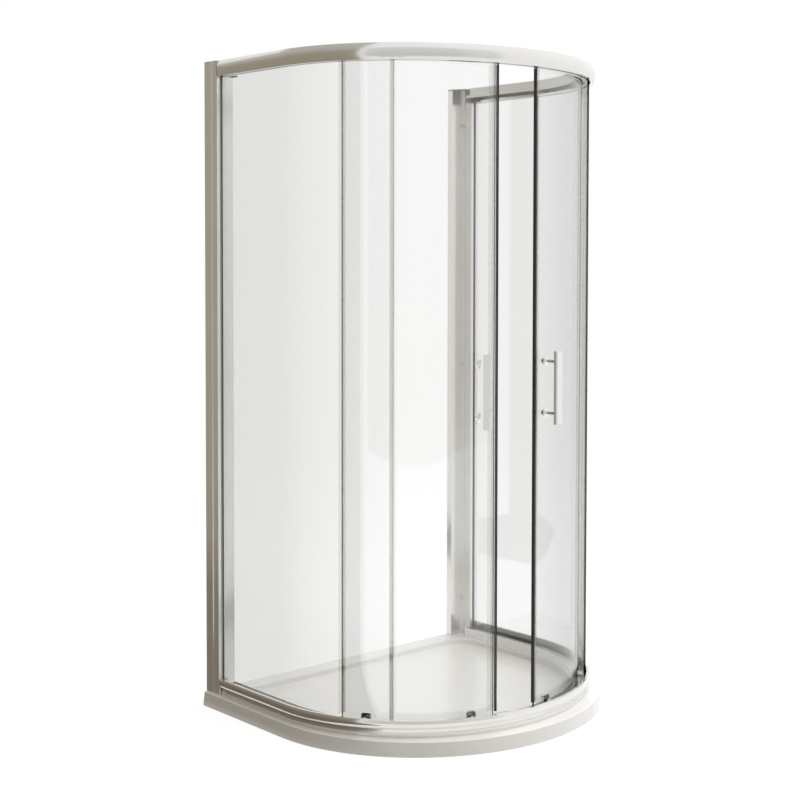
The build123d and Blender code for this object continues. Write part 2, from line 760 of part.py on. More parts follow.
    # Roller axles: shoulder against the pane, head outside the wheel, stud through the pane
    wheel_face = wheel_in - axle_play
    head_face = wheel_out + axle_play
    for level, axle_z, nut_room in (
        ("top", top_axle_z, bend_play + cap_nut_washer_height + cap_nut_height - 2.0),
        ("bottom", bottom_axle_z, housing_depth - 2.0),
    ):
        with BuildPart() as roller_axles:
            for spot in roller_spots.values():
                turned(
                    spot,
                    axle_z,
                    [
                        (door_in - nut_room, 0),
                        (door_in - nut_room, axle / 2),
                        (door_out, axle / 2),
                        (door_out, axle_shoulder / 2),
                        (wheel_face, axle_shoulder / 2),
                        (wheel_face, axle / 2),
                        (head_face, axle / 2),
                        (head_face, axle_head / 2),
                        (head_face + axle_head_height, axle_head / 2),
                        (head_face + axle_head_height, 0),
                    ],
                )
        roller_axles.part.label = f"{level}_roller_axles_{name}"
        export_step(roller_axles.part, f"parts/{level}_roller_axles_{name}.step")

    with BuildPart() as top_roller_nuts:
        for spot in roller_spots.values():
            nut_face = inner_seat - cap_nut_washer_height
            turned(
                spot,
                top_axle_z,
                [
                    (inner_seat, axle / 2),
                    (inner_seat, cap_nut_washer / 2),
                    (nut_face, cap_nut_washer / 2),
                    (nut_face, cap_nut / 2),
                    (nut_face - cap_nut_height + 2.0, cap_nut / 2),
                    (nut_face - cap_nut_height, cap_nut / 2 - 2.5),
                    (nut_face - cap_nut_height, 0),
                    (nut_face - cap_nut_height + 2.0, 0),
                    (nut_face - cap_nut_height + 2.0, axle / 2),
                ],
            )
    top_roller_nuts.part.label = f"top_roller_nuts_{name}"
    export_step(top_roller_nuts.part, f"parts/top_roller_nuts_{name}.step")

    with BuildPart() as bottom_roller_housings:
        for spot in roller_spots.values():
            seat = facing_plane(spot, bottom_axle_z, door_in - slip)
            with BuildSketch(seat) as block:
                with Locations((0, (housing_rise - housing_drop) / 2)):
                    RectangleRounded(housing_width, housing_rise + housing_drop, housing_round)
            extrude(block.sketch, amount=-(housing_depth - slip))
            turned(
                spot,
                bottom_axle_z,
                [
                    (door_in, 0),
                    (door_in, axle / 2),
                    (door_in - housing_depth + 2.0, axle / 2),
                    (door_in - housing_depth + 2.0, 0),
                ],
                mode=Mode.SUBTRACT,
            )
    bottom_roller_housings.part.label = f"bottom_roller_housings_{name}"
    export_step(bottom_roller_housings.part, f"parts/bottom_roller_housings_{name}.step")

    # Grooved wheels, one at each end of the door, above and below
    groove_half = track_rib / 2 + wheel_groove_side
    for level, axle_z, rim, groove in (
        ("top", top_axle_z, top_wheel_radius, top_wheel_groove_radius),
        ("bottom", bottom_axle_z, bottom_wheel_radius, bottom_wheel_groove_radius),
    ):
        for spot_name, spot in roller_spots.items():
            with BuildPart() as wheel:
                turned(
                    spot,
                    axle_z,
                    [
                        (wheel_in, wheel_bore / 2),
                        (wheel_in, rim),
                        (rib_middle - groove_half, rim),
                        (rib_middle - groove_half, groove),
                        (rib_middle + groove_half, groove),
                        (rib_middle + groove_half, rim),
                        (wheel_out, rim),
                        (wheel_out, wheel_bore / 2),
                    ],
                )
            wheel.part.label = f"{level}_wheel_{name}_{spot_name}"
            export_step(wheel.part, f"parts/{level}_wheel_{name}_{spot_name}.step")
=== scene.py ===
"""Looks of a D-shaped shower enclosure: polished frame, clear bent glass, chrome fittings, acrylic tray."""

from __future__ import annotations

import logging
import math
from dataclasses import dataclass
from enum import Enum
from typing import Any, Sequence

import bpy
from mathutils import Matrix, Vector


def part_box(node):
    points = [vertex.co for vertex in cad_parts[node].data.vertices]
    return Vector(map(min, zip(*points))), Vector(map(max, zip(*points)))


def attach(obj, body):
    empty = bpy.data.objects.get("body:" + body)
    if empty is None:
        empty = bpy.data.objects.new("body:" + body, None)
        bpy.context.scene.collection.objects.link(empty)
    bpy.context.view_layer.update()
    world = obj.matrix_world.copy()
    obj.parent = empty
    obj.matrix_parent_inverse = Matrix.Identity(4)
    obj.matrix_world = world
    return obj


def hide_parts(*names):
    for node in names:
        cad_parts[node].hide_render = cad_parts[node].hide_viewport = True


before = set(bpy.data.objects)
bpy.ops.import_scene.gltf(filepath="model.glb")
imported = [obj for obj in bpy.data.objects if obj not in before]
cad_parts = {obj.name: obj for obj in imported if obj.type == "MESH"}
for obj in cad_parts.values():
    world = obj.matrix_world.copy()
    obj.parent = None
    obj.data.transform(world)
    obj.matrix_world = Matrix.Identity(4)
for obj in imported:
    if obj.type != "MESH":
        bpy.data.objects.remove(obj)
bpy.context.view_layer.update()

logging.basicConfig(level=logging.INFO, format="%(name)s: %(message)s")
log = logging.getLogger("enclosure")

Colour = tuple[float, float, float, float]

# Outputs of Texture Coordinate, Layer Weight and Light Path, by their place in the node.
GENERATED, NORMAL, OBJECT = 0, 1, 3
FACING = 1
CAMERA_RAY, GLOSSY_RAY, TRANSMISSION_RAY = 0, 3, 6

# How much each octave of the noise adds to the one before it.
NOISE_ROUGHNESS = 0.55


def tone(red: float, green: float, blue: float) -> Colour:
    """A linear colour with full alpha."""
    return (red, green, blue, 1.0)


def linked(name: str, data: Any) -> Any:
    """An object of this data, in the scene."""
    made = bpy.data.objects.new(name, data)
    bpy.context.scene.collection.objects.link(made)
    return made


class Side(Enum):
    """The two mirrored halves of the enclosure."""

    LEFT = "left"
    RIGHT = "right"


class End(Enum):
    """The two ends of a door."""

    LEAD = "lead"
    TRAIL = "trail"


class Socket:
    """Wraps a node socket so that shader maths reads as Python expressions."""

    def __init__(self, graph: "Graph", socket: Any) -> None:
        """Keeps the graph that owns the socket.

        Args:
            graph: the node graph to add Math nodes to.
            socket: the output socket to wrap.
        """
        self.graph = graph
        self.socket = socket

    def _with(self, operation: str, *values: Any) -> "Socket":
        """One Math node on these values, in this order."""
        inputs = {index: value for index, value in enumerate(values)}
        return self.graph.node("ShaderNodeMath", {"operation": operation}, inputs)[0]

    def __add__(self, other: Any) -> "Socket":
        """Sum."""
        return self._with("ADD", self, other)

    __radd__ = __add__

    def __sub__(self, other: Any) -> "Socket":
        """Difference."""
        return self._with("SUBTRACT", self, other)

    def __rsub__(self, other: Any) -> "Socket":
        """Reflected difference."""
        return self._with("SUBTRACT", other, self)

    def __mul__(self, other: Any) -> "Socket":
        """Product."""
        return self._with("MULTIPLY", self, other)

    __rmul__ = __mul__

    def __pow__(self, power: float) -> "Socket":
        """Power."""
        return self._with("POWER", self, power)

    def __abs__(self) -> "Socket":
        """Size without the sign."""
        return self._with("ABSOLUTE", self)

    def fraction(self) -> "Socket":
        """What is left above the whole number."""
        return self._with("FRACT", self)

    def clamped(self, low: float = 0.0, high: float = 1.0) -> "Socket":
        """The value held between two limits."""
        return self._with("MINIMUM", self._with("MAXIMUM", self, low), high)


class Graph:
    """A shader or geometry node graph with one method that makes nodes."""

    def __init__(self, tree: Any) -> None:
        """Takes over a node tree.

        Args:
            tree: the node tree, cleared before use by its owner.
        """
        self.tree = tree

    @classmethod
    def of(cls, owner: Any) -> "Graph":
        """Empties the node tree of a material or a world, and takes it over.

        Args:
            owner: the material or world.

        Returns:
            Its graph, with no node in it.
        """
        owner.use_nodes = True
        owner.node_tree.nodes.clear()
        return cls(owner.node_tree)

    def node(
        self,
        kind: str,
        settings: dict[str, Any] | None = None,
        inputs: dict[Any, Any] | None = None,
    ) -> list[Socket]:
        """Makes a node, sets its properties, then its sockets.

        Args:
            kind: the node's bl_idname.
            settings: properties set first; "ramp" holds (position, colour) stops.
            inputs: socket name or index to a value, a Socket, or a list of Sockets that
                share one input.

        Returns:
            The node's outputs, wrapped, in order.
        """
        made = self.tree.nodes.new(kind)
        for name, value in (settings or {}).items():
            if name == "ramp":
                elements = made.color_ramp.elements
                while len(elements) < len(value):
                    elements.new(0.5)
                for element, (position, colour) in zip(elements, value):
                    element.position = position
                    element.color = colour
            else:
                setattr(made, name, value)
        for name, value in (inputs or {}).items():
            target = made.inputs[name]
            if isinstance(value, Socket):
                self.tree.links.new(value.socket, target)
            elif isinstance(value, list):
                for part in value:
                    self.tree.links.new(part.socket, target)
            else:
                target.default_value = value
        return [Socket(self, out) for out in made.outputs]

    def output(self, kind: str, socket: Socket, name: str = "Surface") -> None:
        """Links a socket to a new output node.

        Args:
            kind: the output node's bl_idname.
            socket: what it shows or hands on.
            name: the input that takes it.
        """
        self.node(kind, {}, {name: socket})

    def mixed(self, factor: Socket, low: Socket, high: Socket) -> Socket:
        """A mix of two shaders.

        Args:
            factor: 0 for all of the first, 1 for all of the second.
            low: the first shader.
            high: the second shader.

        Returns:
            The mixed shader.
        """
        return self.node("ShaderNodeMixShader", {}, {0: factor, 1: low, 2: high})[0]

    def place(self) -> list[Socket]:
        """The x, y and z of a point on the object, in the shared frame."""
        point = self.node("ShaderNodeTexCoord")[OBJECT]
        return self.node("ShaderNodeSeparateXYZ", {}, {0: point})


@dataclass(frozen=True)
class Finish:
    """A procedural finish: every subclass fills in its own graph."""

    name: str

    def material(self) -> Any:
        """Makes the Blender material, once for each finish.

        Returns:
            The material of this finish's name.
        """
        found = bpy.data.materials.get(self.name)
        if found is not None:
            return found
        made = bpy.data.materials.new(self.name)
        graph = Graph.of(made)
        graph.output("ShaderNodeOutputMaterial", self.paint(graph))
        return made

    def paint(self, graph: Graph) -> Socket:
        """Builds the finish's shader.

        Args:
            graph: the graph to build in.

        Returns:
            The shader's output.
        """
        raise NotImplementedError

    @staticmethod
    def noise(
        graph: Graph, scale: float, detail: float, stretch: Sequence[float] = (1.0, 1.0, 1.0)
    ) -> Socket:
        """Noise on object coordinates.

        Args:
            graph: the graph to build in.
            scale: noise scale per metre.
            detail: octaves.
            stretch: scale of each axis before the noise.

        Returns:
            The noise factor, about 0.5 on average.
        """
        place = graph.node("ShaderNodeTexCoord")[OBJECT]
        mapped = graph.node("ShaderNodeMapping", {}, {"Vector": place, "Scale": tuple(stretch)})[0]
        return graph.node(
            "ShaderNodeTexNoise",
            {},
            {"Vector": mapped, "Scale": scale, "Detail": detail, "Roughness": NOISE_ROUGHNESS},
        )[0]

    @staticmethod
    def bump(graph: Graph, height: Socket, strength: float, distance: float) -> Socket:
        """A bump normal from a height.

        Args:
            graph: the graph to build in.
            height: the height, from 0 to 1.
            strength: how much of the bump shows.
            distance: metres between the lowest and the highest point.

        Returns:
            The bent normal.
        """
        return graph.node(
            "ShaderNodeBump", {}, {"Height": height, "Strength": strength, "Distance": distance}
        )[0]

    @staticmethod
    def blend(graph: Graph, factor: Socket, low: Colour, high: Colour) -> Socket:
        """A colour between two.

        Args:
            graph: the graph to build in.
            factor: 0 for the low colour, 1 for the high one.
            low: the colour at 0.
            high: the colour at 1.

        Returns:
            The mixed colour.
        """
        return graph.node(
            "ShaderNodeMix", {"data_type": "RGBA"}, {0: factor, 6: low, 7: high}
        )[2]


@dataclass(frozen=True)
class PolishedMetal(Finish):
    """Metal with faint cloudiness in its polish and fine drawing lines along one axis."""

    base: Colour = tone(0.84, 0.832, 0.812)
    worn: Colour = tone(0.80, 0.79, 0.765)
    rough: float = 0.16
    spread: float = 0.08
    stretch: tuple[float, float, float] = (1.0, 1.0, 1.0)
    lines: float = 0.0
    line_depth: float = 0.00003
    metal: float = 0.82
    cloud_scale: float = 4.0
    fine_scale: float = 320.0
    fine_share: float = 0.3
    contrast: float = 1.6

    def paint(self, graph: Graph) -> Socket:
        """Cloudy polish, with drawing lines where the piece is extruded.

        Args:
            graph: the graph to build in.

        Returns:
            The metal's shader.
        """
        cloud = self.noise(graph, self.cloud_scale, 3.0)
        fine = self.noise(graph, self.fine_scale, 2.0, self.stretch)
        smoothest = self.rough - self.spread * (1.0 + self.fine_share) / 2
        roughness = cloud * self.spread + fine * (self.spread * self.fine_share) + smoothest
        polish = (cloud * self.contrast - (self.contrast - 1.0) / 2).clamped()
        colour = self.blend(graph, polish, self.worn, self.base)
        inputs: dict[Any, Any] = {
            "Base Color": colour,
            "Metallic": self.metal,
            "Roughness": roughness,
        }
        if self.lines > 0.0:
            inputs["Normal"] = self.bump(graph, fine, self.lines, self.line_depth)
        return graph.node("ShaderNodeBsdfPrincipled", {}, inputs)[0]


@dataclass(frozen=True)
class RailMetal(PolishedMetal):
    """The rails' metal, with painted light on the inner wall: a brighter, more matt metal there."""

    arc_y: float = 0.087
    wall: float = 0.464
    wall_sharpness: float = 1500.0
    # Painted light on the inner wall: this brighter, more matt metal stands in for light falling there.
    painted_light: Colour = tone(0.93, 0.925, 0.91)
    painted_light_metal: float = 0.3
    painted_light_rough: float = 0.35

    def paint(self, graph: Graph) -> Socket:
        """Polished metal outside, and painted light inside a line that follows the bend: a brighter, more
        matt metal.

        Args:
            graph: the graph to build in.

        Returns:
            The rail's shader.
        """
        metal = PolishedMetal.paint(self, graph)
        x, y, _ = graph.place()
        ahead = (y - self.arc_y).clamped(-1.0, 0.0)
        from_bend = (x * x + ahead * ahead) ** 0.5
        inside = ((self.wall - from_bend) * self.wall_sharpness).clamped()
        # Painted light: the inner wall gets the brighter, more matt metal.
        painted_light = graph.node(
            "ShaderNodeBsdfPrincipled",
            {},
            {"Base Color": self.painted_light, "Metallic": self.painted_light_metal, "Roughness": self.painted_light_rough},
        )[0]
        return graph.mixed(inside, metal, painted_light)


@dataclass(frozen=True)
class ClearPane(Finish):
    """Clear toughened glass: greyer on the slant, with dark ground ends and a mirror-like skin."""

    tint: Colour = tone(0.985, 0.987, 0.985)
    edge: Colour = tone(0.06, 0.065, 0.06)
    head_on: float = 0.06
    slant: float = 0.17
    limb: float = 0.8
    limb_width: float = 0.12
    limb_depth: float = 0.15
    arc_centre: tuple[float, float, float] = (0.0, 0.087, 0.0)
    end_sharpness: float = 4.0
    end_matt: float = 0.9
    fresnel_power: float = 5.0
    skin: Colour = tone(0.95, 0.955, 0.95)
    skin_rough: float = 0.015
    smear_scale: float = 2.5
    smear_stretch: tuple[float, float, float] = (1.0, 1.0, 0.35)
    smear_rough: float = 0.03
    smear_shine: float = 0.01

    def ground_ends(self, graph: Graph) -> Socket:
        """Finds the pane's narrow ends: their normals run along the bend, not across it.

        Args:
            graph: the graph to build in.

        Returns:
            1 on the ends, 0 on the faces.
        """

        def vector(operation: str, *values: Any) -> list[Socket]:
            """One Vector Math node: its vector, then its value."""
            return graph.node("ShaderNodeVectorMath", {"operation": operation}, dict(enumerate(values)))

        coordinates = graph.node("ShaderNodeTexCoord")
        flat = vector("MULTIPLY", coordinates[OBJECT], (1.0, 1.0, 0.0))[0]
        outward = vector("SUBTRACT", flat, self.arc_centre)[0]
        across = vector("NORMALIZE", outward)[0]
        along = vector("DOT_PRODUCT", coordinates[NORMAL], across)[1]
        return (1.0 - along * along * self.end_sharpness).clamped()

    def paint(self, graph: Graph) -> Socket:
        """Transparent glass under a thin reflecting skin, darker at its limb and dark at its ends.

        Args:
            graph: the graph to build in.

        Returns:
            The pane's shader.
        """
        facing = graph.node("ShaderNodeLayerWeight", {}, {"Blend": 0.5})[FACING]
        sheen = facing**self.fresnel_power * (1.0 - self.head_on) + self.head_on
        smear = self.noise(graph, self.smear_scale, 2.0, self.smear_stretch)
        limb = ((facing - self.limb) * (1.0 / self.limb_width)).clamped() * self.limb_depth
        ends = self.ground_ends(graph)
        clear = graph.node("ShaderNodeBsdfTransparent", {}, {"Color": self.tint})[0]
        dim = graph.node("ShaderNodeBsdfTransparent", {}, {"Color": self.edge})[0]
        dark = (facing * self.slant + limb + ends).clamped()
        through = graph.mixed(dark, clear, dim)
        skin = graph.node(
            "ShaderNodeBsdfPrincipled",
            {},
            {
                "Base Color": self.skin,
                "Metallic": 1.0,
                "Roughness": smear * self.smear_rough + self.skin_rough,
            },
        )[0]
        factor = ((sheen + smear * self.smear_shine) * (1.0 - ends * self.end_matt)).clamped()
        return graph.mixed(factor, through, skin)


@dataclass(frozen=True)
class NotchedCap(PolishedMetal):
    """The post cap's metal, with painted shade on the upright faces inside the row of notches along its
    inner edge.
    """

    notches_start: float = 0.4005
    pitch: float = 0.0124
    notch: float = 0.0065
    front_edge: float = 0.4574
    back_edge: float = 0.4342
    lean: float = 0.58
    notch_margin: float = 0.0004
    notch_sharpness: float = 60.0
    edge_margin: float = 0.001
    edge_sharpness: float = 4000.0
    upright_sharpness: float = 2.0
    # Painted shade: the colour of the upright faces in the notches.
    shadow: Colour = tone(0.05, 0.05, 0.047)
    shadow_rough: float = 0.6

    def paint(self, graph: Graph) -> Socket:
        """Polished metal, mixed with a painted shadow where an upright face lies in a notch.

        Args:
            graph: the graph to build in.

        Returns:
            The cap's shader.
        """
        metal = PolishedMetal.paint(self, graph)
        x, y, _ = graph.place()
        normal = graph.node("ShaderNodeTexCoord")[NORMAL]
        upward = graph.node("ShaderNodeSeparateXYZ", {}, {0: normal})[2]
        run = (y - self.notches_start) * (1.0 / self.pitch)
        beside = abs(run.fraction() - 0.5)
        half = (self.notch * 0.5 + self.notch_margin) / self.pitch
        row = ((half - beside) * self.notch_sharpness).clamped()
        edge = (self.front_edge - (y - self.notches_start) * self.lean).clamped(self.back_edge, 1.0)
        near = ((edge + self.edge_margin - abs(x)) * self.edge_sharpness).clamped()
        inner = near * (1.0 - abs(upward) * self.upright_sharpness).clamped()
        # Painted shadow on the notch walls.
        dark = graph.node(
            "ShaderNodeBsdfPrincipled", {}, {"Base Color": self.shadow, "Roughness": self.shadow_rough}
        )[0]
        return graph.mixed(row * inner, metal, dark)


@dataclass(frozen=True)
class SoftPlastic(Finish):
    """Moulded or extruded plastic, optionally see-through."""

    base: Colour = tone(0.6, 0.6, 0.59)
    shade: Colour = tone(0.5, 0.5, 0.49)
    rough: float = 0.35
    grain: float = 400.0
    relief: float = 0.08
    clear: float = 0.0
    see_through: Colour = tone(0.9, 0.905, 0.89)
    coat: float = 0.0
    coat_rough: float = 0.08
    relief_depth: float = 0.0001
    cloud_scale: float = 14.0
    grain_rough: float = 0.06
    veil: float = 0.06

    def paint(self, graph: Graph) -> Socket:
        """Plastic with a fine grain, mixed with clear where it is translucent.

        Args:
            graph: the graph to build in.

        Returns:
            The plastic's shader.
        """
        cloud = self.noise(graph, self.cloud_scale, 3.0)
        grain = self.noise(graph, self.grain, 2.0)
        body = graph.node(
            "ShaderNodeBsdfPrincipled",
            {},
            {
                "Base Color": self.blend(graph, cloud, self.shade, self.base),
                "Roughness": grain * self.grain_rough + (self.rough - self.grain_rough / 2),
                "Coat Weight": self.coat,
                "Coat Roughness": self.coat_rough,
                "Normal": self.bump(graph, grain, self.relief, self.relief_depth),
            },
        )[0]
        if self.clear <= 0.0:
            return body
        through = graph.node("ShaderNodeBsdfTransparent", {}, {"Color": self.see_through})[0]
        factor = (cloud * self.veil + (1.0 - self.veil / 2 - self.clear)).clamped()
        return graph.mixed(factor, through, body)


class Palette:
    """The finishes of the enclosure."""

    rail = RailMetal("polished_rail", lines=0.4, stretch=(1.0, 1.0, 6.0))
    upright = PolishedMetal(
        "polished_upright",
        base=tone(0.91, 0.902, 0.885),
        worn=tone(0.88, 0.872, 0.85),
        lines=0.5,
        stretch=(4.0, 4.0, 0.03),
        metal=0.65,
    )
    chrome = PolishedMetal(
        "bright_chrome",
        base=tone(0.85, 0.848, 0.835),
        worn=tone(0.81, 0.806, 0.79),
        rough=0.08,
        spread=0.05,
        metal=1.0,
    )
    steel = PolishedMetal(
        "turned_steel", base=tone(0.66, 0.66, 0.65), worn=tone(0.56, 0.56, 0.55), rough=0.28, spread=0.12
    )
    pane = ClearPane("clear_pane")
    notched = NotchedCap("notched_post_cap")
    seal = SoftPlastic(
        "seal_vinyl",
        base=tone(0.9, 0.9, 0.88),
        shade=tone(0.86, 0.86, 0.84),
        rough=0.25,
        clear=0.92,
        see_through=tone(0.965, 0.968, 0.955),
    )
    magnet = SoftPlastic(
        "magnet_strip", base=tone(0.014, 0.014, 0.014), shade=tone(0.008, 0.008, 0.008), rough=0.5
    )
    gasket = SoftPlastic(
        "glazing_rubber", base=tone(0.42, 0.42, 0.41), shade=tone(0.36, 0.36, 0.35), rough=0.5
    )
    cap = SoftPlastic(
        "end_cap_plastic", base=tone(0.27, 0.265, 0.25), shade=tone(0.2, 0.195, 0.185), rough=0.4
    )
    nylon = SoftPlastic(
        "wheel_nylon", base=tone(0.78, 0.78, 0.74), shade=tone(0.68, 0.68, 0.64), rough=0.4
    )
    tray = SoftPlastic(
        "acrylic_tray",
        base=tone(0.86, 0.85, 0.83),
        shade=tone(0.845, 0.835, 0.815),
        rough=0.24,
        grain=60.0,
        relief=0.0,
        coat=0.4,
    )


def dress(node: str, finish: Finish) -> None:
    """Gives a CAD node its finish.

    Args:
        node: the node's name.
        finish: the finish for all of its faces.
    """
    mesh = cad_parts[node].data
    mesh.materials.clear()
    mesh.materials.append(finish.material())
    log.info("%s: %s", node, finish.name)


@dataclass
class FrameScrews:
    """Cross-recess screws that join each post to its wall channel, three on each side."""

    node: str = "frame_screws"
    head: float = 0.004
    head_height: float = 0.0024
    shank: float = 0.0018
    cross_length: float = 0.0046
    cross_width: float = 0.0012
    cross_depth: float = 0.0013
    seat: float = 0.4788
    rows: int = 3
    head_sides: int = 32
    shank_sides: int = 16

    def tree(self, finish: Finish) -> tuple[Any, dict[str, str]]:
        """Builds the node tree of both rows of screws.

        Args:
            finish: the screws' finish.

        Returns:
            The tree, and the identifier of each of its inputs by name.
        """
        tree = bpy.data.node_groups.new("cross_recess_screws", "GeometryNodeTree")
        tree.interface.new_socket(name="Geometry", in_out="OUTPUT", socket_type="NodeSocketGeometry")
        kinds = {
            "Head Radius": "NodeSocketFloat",
            "Head Height": "NodeSocketFloat",
            "Shank Radius": "NodeSocketFloat",
            "Shank Length": "NodeSocketFloat",
            "Cross Length": "NodeSocketFloat",
            "Cross Width": "NodeSocketFloat",
            "Cross Depth": "NodeSocketFloat",
            "Rows": "NodeSocketInt",
            "Right Start": "NodeSocketVector",
            "Left Start": "NodeSocketVector",
            "Step": "NodeSocketVector",
        }
        names = {
            name: tree.interface.new_socket(name=name, in_out="INPUT", socket_type=kind).identifier
            for name, kind in kinds.items()
        }
        graph = Graph(tree)
        given = dict(zip(kinds, graph.node("NodeGroupInput")))
        head = graph.node(
            "GeometryNodeMeshCylinder",
            {},
            {"Vertices": self.head_sides, "Radius": given["Head Radius"], "Depth": given["Head Height"]},
        )[0]
        for turn in (0.0, math.pi / 2):
            size = graph.node(
                "ShaderNodeCombineXYZ",
                {},
                {0: given["Cross Length"], 1: given["Cross Width"], 2: given["Cross Depth"] * 2.0},
            )[0]
            bar = graph.node("GeometryNodeMeshCube", {}, {"Size": size})[0]
            lift = graph.node("ShaderNodeCombineXYZ", {}, {2: given["Head Height"] * 0.5})[0]
            bar = graph.node(
                "GeometryNodeTransform",
                {},
                {"Geometry": bar, "Translation": lift, "Rotation": (0.0, 0.0, turn)},
            )[0]
            head = graph.node(
                "GeometryNodeMeshBoolean", {"operation": "DIFFERENCE", "solver": "EXACT"}, {0: head, 1: bar}
            )[0]
        shank = graph.node(
            "GeometryNodeMeshCylinder",
            {},
            {"Vertices": self.shank_sides, "Radius": given["Shank Radius"], "Depth": given["Shank Length"]},
        )[0]
        drop = (given["Head Height"] + given["Shank Length"]) * -0.5
        shank = graph.node(
            "GeometryNodeTransform",
            {},
            {"Geometry": shank, "Translation": graph.node("ShaderNodeCombineXYZ", {}, {2: drop})[0]},
        )[0]
        rows = []
        for start, turn in (("Right Start", -math.pi / 2), ("Left Start", math.pi / 2)):
            line = graph.node(
                "GeometryNodeMeshLine",
                {},
                {"Count": given["Rows"], "Start Location": given[start], "Offset": given["Step"]},
            )[0]
            for part in (head, shank):
                rows.append(
                    graph.node(
                        "GeometryNodeInstanceOnPoints",
                        {},
                        {"Points": line, "Instance": part, "Rotation": (0.0, turn, 0.0)},
                    )[0]
                )
        joined = graph.node("GeometryNodeJoinGeometry", {}, {0: rows})[0]
        real = graph.node("GeometryNodeRealizeInstances", {}, {0: joined})[0]
        dressed = graph.node(
            "GeometryNodeSetMaterial", {}, {"Geometry": real, "Material": finish.material()}
        )[0]
        graph.output("NodeGroupOutput", dressed, "Geometry")
        return tree, names

    def build(self) -> None:
        """Makes the screws as one plain mesh that stands for the CAD node."""
        low, high = (Vector(corner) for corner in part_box(self.node))
        middle_y = (low.y + high.y) / 2
        first, last = low.z + self.head, high.z - self.head
        seated = self.seat - self.head_height / 2
        tree, names = self.tree(Palette.steel)
        maker = linked("screw_maker", bpy.data.meshes.new("screw_maker"))
        modifier = maker.modifiers.new("screws", "NODES")
        modifier.node_group = tree
        values: dict[str, Any] = {
            "Head Radius": self.head,
            "Head Height": self.head_height,
            "Shank Radius": self.shank,
            "Shank Length": high.x - self.seat,
            "Cross Length": self.cross_length,
            "Cross Width": self.cross_width,
            "Cross Depth": self.cross_depth,
            "Rows": self.rows,
            "Right Start": (seated, middle_y, first),
            "Left Start": (-seated, middle_y, first),
            "Step": (0.0, 0.0, (last - first) / (self.rows - 1)),
        }
        for name, value in values.items():
            modifier[names[name]] = value
        evaluated = maker.evaluated_get(bpy.context.evaluated_depsgraph_get())
        mesh = bpy.data.meshes.new_from_object(evaluated)
        bpy.data.objects.remove(maker)
        mesh.name = "cross_recess_screws"
        screws = linked("cross_recess_screws", mesh)
        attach(screws, "enclosure")
        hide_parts(self.node)
        log.info("%s: %d faces", screws.name, len(mesh.polygons))


@dataclass
class FixedFrame:
    """Tray, rails, posts, wall channels and the fixed panels."""

    sides: tuple[Side, ...] = (Side.LEFT, Side.RIGHT)

    def dress(self) -> None:
        """Finishes of all fixed nodes."""
        dress("shower_tray", Palette.tray)
        dress("post_top_caps", Palette.notched)
        for rail in ("top_rail", "bottom_rail"):
            dress(rail, Palette.rail)
            dress(f"{rail}_end_caps", Palette.cap)
        dress("frame_screws", Palette.steel)
        FrameScrews().build()
        for side in self.sides:
            dress(f"wall_channel_{side.value}", Palette.upright)
            dress(f"post_{side.value}", Palette.upright)
            dress(f"post_gasket_{side.value}", Palette.gasket)
            dress(f"fixed_glass_{side.value}", Palette.pane)
            dress(f"fixed_seal_{side.value}", Palette.seal)
            dress(f"door_buffer_{side.value}", Palette.gasket)


@dataclass
class SlidingDoor:
    """One curved door with its seals, handle and rollers."""

    side: Side
    ends: tuple[End, ...] = (End.LEAD, End.TRAIL)

    def dress(self) -> None:
        """Finishes of the door's nodes."""
        name = self.side.value
        dress(f"door_glass_{name}", Palette.pane)
        dress(f"door_edge_seal_{name}", Palette.seal)
        dress(f"door_magnet_seal_{name}", Palette.seal)
        dress(f"door_magnet_{name}", Palette.magnet)
        handle = ("handle_bar", "handle_posts", "handle_screws")
        for part in (*handle, "top_roller_nuts", "bottom_roller_housings"):
            dress(f"{part}_{name}", Palette.chrome)
        for level in ("top", "bottom"):
            dress(f"{level}_roller_axles_{name}", Palette.steel)
            for end in self.ends:
                dress(f"{level}_wheel_{name}_{end.value}", Palette.nylon)


